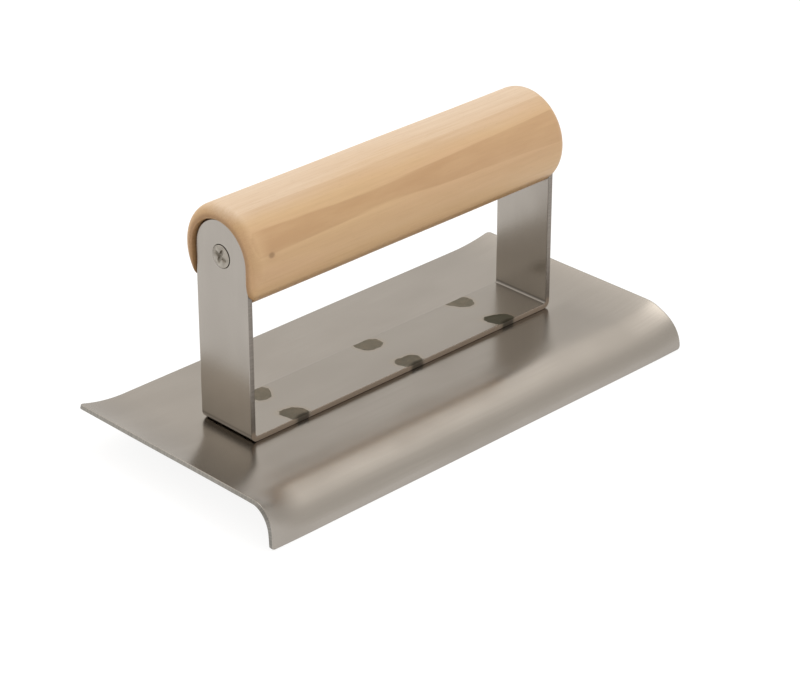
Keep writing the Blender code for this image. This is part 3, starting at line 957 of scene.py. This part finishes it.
strap_steel, tree, shader = new_material("strap steel", 1.0)
colour, rough, height = sheet_steel(tree, STRAP_SHEAR)
strap_place = own_place(tree)
strap_run, _, strap_height = axes(tree, strap_place)
shake = calc(tree, "SUBTRACT", noise(tree, strap_place, 0.8, 3.0), 0.5)
ragged = calc(tree, "MULTIPLY_ADD", shake, 0.3, field(tree, "weld_distance"))
heat = fade(tree, ragged, 1.5, 1.0, 0.0, 0.3)
patch = fade(tree, ragged, 1.04, 0.97)
soot = fade(tree, field(tree, "weld_soot"), 0.2, 0.8, 0.0, 0.8)
burnt = use(tree, burnt_skin, Place=strap_place, Soot=soot)
flare = calc(tree, "MULTIPLY_ADD", noise(tree, strap_place, 1.1, 3.0), 0.3, field(tree, "edge_burn"))
scorch = fade(tree, flare, 0.42, 1.0, 0.0, 0.9)
# Painted shade in the two inner corners of the bends.
painted_corner_shade = product(tree, fade(tree, calc(tree, "ABSOLUTE", strap_run), BEND_START - 0.4, BEND_START),
                    fade(tree, strap_height, 4.0, 3.4, 0.0, 0.55))
seam = product(tree, fade(tree, field(tree, "sheared"), 0.2, 0.9), fade(tree, strap_height, 4.8, 3.6))
dirty_seam = product(tree, seam, calc(tree, "SUBTRACT", 1.0, scorch))
# The first coat is painted shade on the base, darker towards the bottom.
colour = coats(tree, colour, (fade(tree, strap_height, 6.0, 3.2, 0.0, 0.3), BASE_PAINTED_SHADE),
               (painted_corner_shade, CORNER_PAINTED_SHADE), (heat, STRAW), (patch, burnt["Color"]), (scorch, SCORCHED),
               (dirty_seam, SEAM_DIRT))
rough = put(tree, "ShaderNodeMix", {0: patch, 2: rough, 3: burnt["Roughness"]}).outputs[0]
rough = calc(tree, "MAXIMUM", rough, product(tree, scorch, SCORCH_DULLNESS))
tree.links.new(calc(tree, "MULTIPLY_ADD", seam, -0.9, 1.0), shader["Metallic"])
finish_shader(tree, shader, colour, rough, height, BRUSHING)
dress(strap_steel, strap)

# %% [markdown]
# ## Weld steel
#
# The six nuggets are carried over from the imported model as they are. They lie inside the two sheets and show
# only when the part is taken apart. They have the burnt skin of the strap's patches, with more soot and a
# little spatter.

# %% Weld finish
SPATTER = 0.02 * MM

weld_steel, tree, shader = new_material("weld steel", 1.0)
weld_place = own_place(tree)
sooty = fade(tree, noise(tree, weld_place, (0.9, 0.9, 2.0), 3.0), 0.35, 0.65, 0.1, 0.9)
burnt = use(tree, burnt_skin, Place=weld_place, Soot=sooty)
finish_shader(tree, shader, burnt["Color"], burnt["Roughness"], noise(tree, weld_place, 4.0, 3.0), SPATTER)
for name in weld_names:
    for material_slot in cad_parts[name].material_slots:
        material_slot.material = weld_steel
print(f"weld steel: {len(weld_names)} nuggets")

# %% [markdown]
# ## Screw steel
#
# A screw's head is turned, so its marks run in rings about the axis, and the recess is painted darker as
# painted shade. The rings come from the distance to the axis, which is the length of the place once its
# run along the axis is taken out.

# %% Screw finish
AXIS_PLACE = (0.0, 0.0, AXIS_HEIGHT)
ACROSS_AXIS = (0.0, 1.0, 1.0)
PLATING = (0.42, 0.385, 0.335)
DULL_PLATING = (0.31, 0.28, 0.24)
TURNING_MARK = (0.22, 0.20, 0.17)
# Painted shade in the cross recess.
RECESS_PAINTED_SHADE = (0.26, 0.235, 0.20)
RECESS_DULLNESS = 0.35
TURNING_RELIEF = 0.01 * MM

screw_steel, tree, shader = new_material("screw steel", 1.0)
screw_place = own_place(tree, AXIS_PLACE)
from_axis = vector(tree, "LENGTH", vector(tree, "MULTIPLY", screw_place, ACROSS_AXIS), output="Value")
ring_inputs = {"W": from_axis, "Scale": 5.0, "Detail": 3.0}
rings = put(tree, "ShaderNodeTexNoise", ring_inputs, noise_dimensions="1D").outputs[0]
film = noise(tree, screw_place, 0.6, 4.0)
# The recess is painted darker: painted shade.
sunk = fade(tree, field(tree, "recess"), 0.05, 0.5)
colour = coats(tree, PLATING, (fade(tree, film, 0.35, 0.65), DULL_PLATING),
               (fade(tree, rings, 0.4, 0.65, 0.0, 0.5), TURNING_MARK), (sunk, RECESS_PAINTED_SHADE))
rough = calc(tree, "MAXIMUM", fade(tree, film, 0.3, 0.7, 0.27, 0.40), product(tree, sunk, RECESS_DULLNESS))
finish_shader(tree, shader, colour, rough, rings, TURNING_RELIEF)
dress(screw_steel, *screws)

# %% [markdown]
# ## Grip wood
#
# The grip is a pale, even hardwood under a thin satin lacquer. Its figure comes from the growth rings:
# curved layers about a distant pith, cut by the cylinder. Facing the front the layers run almost along the
# surface, so one dark layer opens there as a long band. The grain leans along the grip and is bowed a
# little, which makes the band narrow in the middle and wider toward both ends. So the pattern is a depth
# through the layers, and the colour a saw-tooth of that depth: a sharp start, then a slow fade.

# %% Ring depth
RING_ANGLE = math.radians(62)
PITH_DISTANCE = 42.0
RING_WIDTH = 2.1
RING_LEAN = 0.0026
RING_BOW = 0.000095
RING_WANDER = 0.4
FEATHERING = 0.12
FIRST_RING = 13.47

grip_wood, tree, shader = new_material("grip wood", 0.0)
wood_place = own_place(tree, AXIS_PLACE)
run, backward, height_in_grip = axes(tree, wood_place)
pith = (0.0, PITH_DISTANCE * math.sin(RING_ANGLE), -PITH_DISTANCE * math.cos(RING_ANGLE))
from_pith = vector(tree, "DISTANCE", vector(tree, "MULTIPLY", wood_place, ACROSS_AXIS), pith, output="Value")
wander = calc(tree, "SUBTRACT", noise(tree, wood_place, (0.022, 0.10, 0.10), 3.0), 0.5)
fibres = noise(tree, wood_place, (0.035, 1.3, 1.3), 4.0)
depth = calc(tree, "SUBTRACT", from_pith, PITH_DISTANCE + FIRST_RING)
for part, share in ((run, RING_LEAN), (product(tree, run, run), RING_BOW), (wander, RING_WANDER),
                    (fibres, FEATHERING)):
    depth = calc(tree, "MULTIPLY_ADD", part, share, depth)
in_ring = calc(tree, "FRACT", calc(tree, "DIVIDE", depth, RING_WIDTH))
print(f"{RING_WIDTH} mm rings about a pith {PITH_DISTANCE:.0f} mm away")

# %% [markdown]
# The dark late wood doesn't show alike all over. It is weaker toward the top, the back, the right half and
# the left end. The lower side is painted darker as a whole with the same colour, as painted shade, and soft
# blotches lie over both. Each of these is a fade along one direction, and their product is the mask for the
# dark colour.

# %% Late wood
late_fades = [(in_ring, 0.0, 0.05), (in_ring, 0.88, 0.06), (depth, -0.3, 0.0, 0.4, 1.0),
              (backward, -4.0, 7.0, 1.0, 0.35), (height_in_grip, 12.6, 13.2, 1.0, 0.25),
              (height_in_grip, -2.0, 4.0, 0.4, 1.0), (run, 5.0, 30.0, 1.0, 0.8),
              (run, -54.5, -49.5, 0.35, 1.0)]
# Painted shade: the lower side of the grip is darkened with the late wood's colour.
lower_shade_fades = [(height_in_grip, 4.5, 1.5), (height_in_grip, -5.0, 0.0, 0.22, 0.45)]
late_wood = product(tree, *(fade(tree, *limits) for limits in late_fades))
lower_painted_shade = product(tree, *(fade(tree, *limits) for limits in lower_shade_fades))
blotches = fade(tree, noise(tree, wood_place, (0.07, 0.45, 0.45), 3.0), 0.3, 0.7, 0.78, 1.18)
late_wood = product(tree, calc(tree, "MAXIMUM", late_wood, lower_painted_shade), blotches)
print(f"late wood from {len(late_fades)} fades, lower wood from {len(lower_shade_fades)}")

# %% [markdown]
# Over the rings lie the fibres, drawn out along the grip, slow drifts between pinkish and yellowish wood,
# and short dark pores. The top is paler: partly pale sapwood, partly a painted sheen. End grain drinks more
# lacquer, so the slots and the rounded ends are darker, and the rims of the slots are painted darker still,
# as painted shade where the wood meets the uprights. One small pin knot sits near the left end, at the front.

# %% Wood finish
PALE_WOOD = (0.605, 0.408, 0.218)
PINK_WOOD = (0.615, 0.405, 0.230)
# Partly pale sapwood, partly a painted sheen on the top of the grip.
SAPWOOD_AND_SHEEN = (0.645, 0.495, 0.352)
LATE_WOOD = (0.460, 0.270, 0.130)
FIBRE = (0.480, 0.300, 0.155)
PORE = (0.36, 0.21, 0.105)
KNOT = (0.27, 0.155, 0.07)
END_SHADE = (0.80, 0.75, 0.68)
END_PORE = (0.72, 0.63, 0.54)
# Painted shade on the rims of the slots, beside the uprights.
SLOT_RIM_PAINTED_SHADE = (0.62, 0.56, 0.48)
KNOT_ANGLE = math.radians(76.5)
KNOT_PLACE = (-50.3, -GRIP_RADIUS / MM * math.sin(KNOT_ANGLE), GRIP_RADIUS / MM * math.cos(KNOT_ANGLE))
KNOT_DRAWN_OUT = (0.75, 1.0, 1.0)
WOOD_RELIEF = 0.012 * MM

end_grain = field(tree, "end_grain")
drift = noise(tree, wood_place, (0.012, 0.09, 0.09), 3.0)
hairs = noise(tree, wood_place, (0.12, 5.5, 5.5), 2.0)
pores = fade(tree, noise(tree, wood_place, (0.45, 7.0, 7.0), 1.0), 0.66, 0.74)
# Paler towards the top: partly sapwood, partly painted sheen.
near_top = fade(tree, calc(tree, "MULTIPLY_ADD", wander, 4.0, height_in_grip), 9.8, 14.0)
on_barrel_side = fade(tree, end_grain, 0.0, 0.8, 0.65, 0.06)
knot_offset = vector(tree, "MULTIPLY", vector(tree, "SUBTRACT", wood_place, KNOT_PLACE), KNOT_DRAWN_OUT)
from_knot = vector(tree, "LENGTH", knot_offset, output="Value")
colour = coats(tree, PALE_WOOD, (fade(tree, drift, 0.35, 0.65), PINK_WOOD), (near_top, SAPWOOD_AND_SHEEN),
               (product(tree, late_wood, on_barrel_side), LATE_WOOD),
               (fade(tree, fibres, 0.40, 0.75, 0.0, 0.22), FIBRE),
               (fade(tree, hairs, 0.40, 0.75, 0.0, 0.20), FIBRE), (product(tree, pores, 0.22), PORE),
               (fade(tree, from_knot, 2.6, 0.7, 0.0, 0.3), FIBRE),
               (fade(tree, from_knot, 1.0, 0.35, 0.0, 0.75), KNOT))
end_pores = fade(tree, noise(tree, wood_place, (0.4, 4.5, 4.5), 3.0), 0.35, 0.7)
colour = tint(tree, end_grain, colour, tint(tree, end_pores, END_SHADE, END_PORE), "MULTIPLY")
# Painted shade: the rims of the slots are darkened beside the uprights.
slot_rim_shade = fade(tree, field(tree, "past_slot"), 1.9, 0.6, 0.0, 0.8)
colour = tint(tree, slot_rim_shade, colour, SLOT_RIM_PAINTED_SHADE, "MULTIPLY")
rough = calc(tree, "MULTIPLY_ADD", end_grain, 0.14, fade(tree, fibres, 0.3, 0.7, 0.36, 0.45))
height = calc(tree, "MULTIPLY_ADD", pores, -1.5, calc(tree, "ADD", hairs, fibres))
finish_shader(tree, shader, colour, rough, height, WOOD_RELIEF)
dress(grip_wood, grip)

# %% [markdown]
# ## Camera
#
# The camera stands where the photograph was taken from, found by matching corners of the blade and the grip.
# It looks from the front left, from above, through a long lens, and the picture isn't shifted.

# %% Camera
CAMERA_AZIMUTH = math.radians(-44.327)
CAMERA_ELEVATION = math.radians(27.671)
CAMERA_PLACE = Vector((-0.461325, -0.479128, 0.354099))
PICTURE_WIDTH = 800
FOCAL_PIXELS = 2802.2

camera_data = bpy.data.cameras.new("camera")
camera_data.lens = camera_data.sensor_width * FOCAL_PIXELS / PICTURE_WIDTH
camera_data.clip_start = 0.01
camera = add_object("camera", camera_data)
camera.location = CAMERA_PLACE
camera.rotation_euler = (math.pi / 2 - CAMERA_ELEVATION, 0, CAMERA_AZIMUTH)
bpy.context.scene.camera = camera
print(f"camera {CAMERA_PLACE.length:.2f} m away, {camera_data.lens:.0f} mm lens")

# %% [markdown]
# ## Floor
#
# The object stands on a white sweep. Lit at a plain level, white paper comes out a little grey, so for rays
# from the camera and for mirror rays the floor also glows by the missing share. Light that the floor throws
# back on the object has no part in that, and the object's shadow stays.

# %% Floor
FLOOR_HALF = 3.0
FLOOR_GAP = 0.05 * MM
FLOOR_GLOW = 0.85
FLOOR_PAINT = 0.21
PAPER = 0.93

floor_level = cad_box[0][2] - FLOOR_GAP
corner_signs = ((-1, -1), (1, -1), (1, 1), (-1, 1))
floor_corners = [(x * FLOOR_HALF, y * FLOOR_HALF, floor_level) for x, y in corner_signs]
floor_mesh = bpy.data.meshes.new("floor")
floor_mesh.from_pydata(floor_corners, [], [(0, 1, 2, 3)])
floor = add_object("floor", floor_mesh)

white_sweep = bpy.data.materials.new("white sweep")
white_sweep.use_nodes = True
tree = white_sweep.node_tree
tree.nodes.clear()
rays = put(tree, "ShaderNodeLightPath").outputs
mirrored = calc(tree, "MAXIMUM", rays["Is Glossy Ray"], rays["Is Transmission Ray"])
seen = calc(tree, "MAXIMUM", rays["Is Camera Ray"], mirrored)
paper = put(tree, "ShaderNodeBsdfDiffuse", {"Color": (PAPER, PAPER, PAPER, 1)}).outputs[0]
paint = put(tree, "ShaderNodeBsdfDiffuse", {"Color": (FLOOR_PAINT, FLOOR_PAINT, FLOOR_PAINT, 1)}).outputs[0]
glow = put(tree, "ShaderNodeEmission", {"Strength": FLOOR_GLOW}).outputs[0]
lit = put(tree, "ShaderNodeAddShader", {0: paint, 1: glow}).outputs[0]
mixed = put(tree, "ShaderNodeMixShader", {0: seen, 1: paper, 2: lit}).outputs[0]
put(tree, "ShaderNodeOutputMaterial", {"Surface": mixed})
floor_mesh.materials.append(white_sweep)
print(f"floor at {floor_level / MM:.2f} mm")

# %% [markdown]
# ## Light
#
# A product on a white sweep is lit mostly by the white room around it. The room is the world: an even level,
# raised in a wide lobe above right, in a wider one above at the back left, and a little low at the back and
# low at the front. A strip light overhead, which runs from front to back, gives the lip its one bright
# corner, and a disc lamp gives the shadow its direction.

# %% Room
ROOM_LEVEL = 0.735
ROOM_COLOUR = (1.0, 0.970, 0.930)
WHITE = (1.0, 1.0, 1.0)
LOBES = [((0.55, 0.04, 0.83), 14.0, 0.82), ((-0.20, 0.60, 0.77), 5.0, 0.95),
         ((0.70, 0.66, 0.25), 8.0, 0.14), ((0.62, -0.78, 0.05), 8.0, 0.15)]
STRIP_TOWARD = (0.30, -0.03, 0.95)
STRIP_ACROSS = (0.95, 0.0, -0.30)
STRIP_SHARPNESS = 45.0
STRIP_LENGTH_SHARPNESS = 6.0
STRIP_LEVEL = 2.5

world = bpy.data.worlds.new("studio")
bpy.context.scene.world = world
world.use_nodes = True
tree = world.node_tree
direction = put(tree, "ShaderNodeTexCoord").outputs["Generated"]


def facing(target):
    """Cosine of the angle between a direction in the room and a target."""
    return vector(tree, "DOT_PRODUCT", direction, Vector(target).normalized(), output="Value")


def lobe(target, sharpness):
    """A soft light: the cosine to its middle, raised to a power."""
    return calc(tree, "POWER", calc(tree, "MAXIMUM", facing(target), 0.0), sharpness)


room_level = ROOM_LEVEL
for target, sharpness, amount in LOBES:
    room_level = calc(tree, "MULTIPLY_ADD", lobe(target, sharpness), amount, room_level)
beside = facing(STRIP_ACROSS)
within = calc(tree, "POWER", calc(tree, "SUBTRACT", 1.0, product(tree, beside, beside)), STRIP_SHARPNESS)
strip = product(tree, within, lobe(STRIP_TOWARD, STRIP_LENGTH_SHARPNESS))
room_level = calc(tree, "MULTIPLY_ADD", strip, STRIP_LEVEL, room_level)
camera_ray = put(tree, "ShaderNodeLightPath").outputs["Is Camera Ray"]
room_strength = put(tree, "ShaderNodeMix", {0: camera_ray, 2: room_level, 3: 1.0}).outputs[0]
room_colour = tint(tree, camera_ray, ROOM_COLOUR, WHITE)
tree.links.new(room_colour, tree.nodes["Background"].inputs["Color"])
tree.links.new(room_strength, tree.nodes["Background"].inputs["Strength"])
print(f"room at {ROOM_LEVEL} with {len(LOBES)} lobes and a strip")

# %% Lamp
LAMP_TOWARD = Vector((0.10, 0.10, 0.99)).normalized()
LAMP_DISTANCE = 1.2
LAMP_SIZE = 0.60
LAMP_RADIANCE = 0.8

lamp_data = bpy.data.lights.new("overhead lamp", "AREA")
lamp_data.shape = "DISK"
lamp_data.size = LAMP_SIZE
lamp_data.energy = LAMP_RADIANCE * math.pi * math.pi * (LAMP_SIZE / 2) ** 2
lamp = add_object("overhead lamp", lamp_data)
lamp.location = LAMP_TOWARD * LAMP_DISTANCE
lamp.rotation_euler = LAMP_TOWARD.to_track_quat("Z", "Y").to_euler()
bpy.context.scene.view_settings.view_transform = "Standard"
print(f"lamp {lamp_data.energy:.1f} W")

# %% [markdown]
# ## The imported box
#
# The dressed part must fill the same box as the imported solids. That box is printed.

# %% Print the imported box
print("packed solids:", [[round(value / MM, 2) for value in corner] for corner in cad_box])
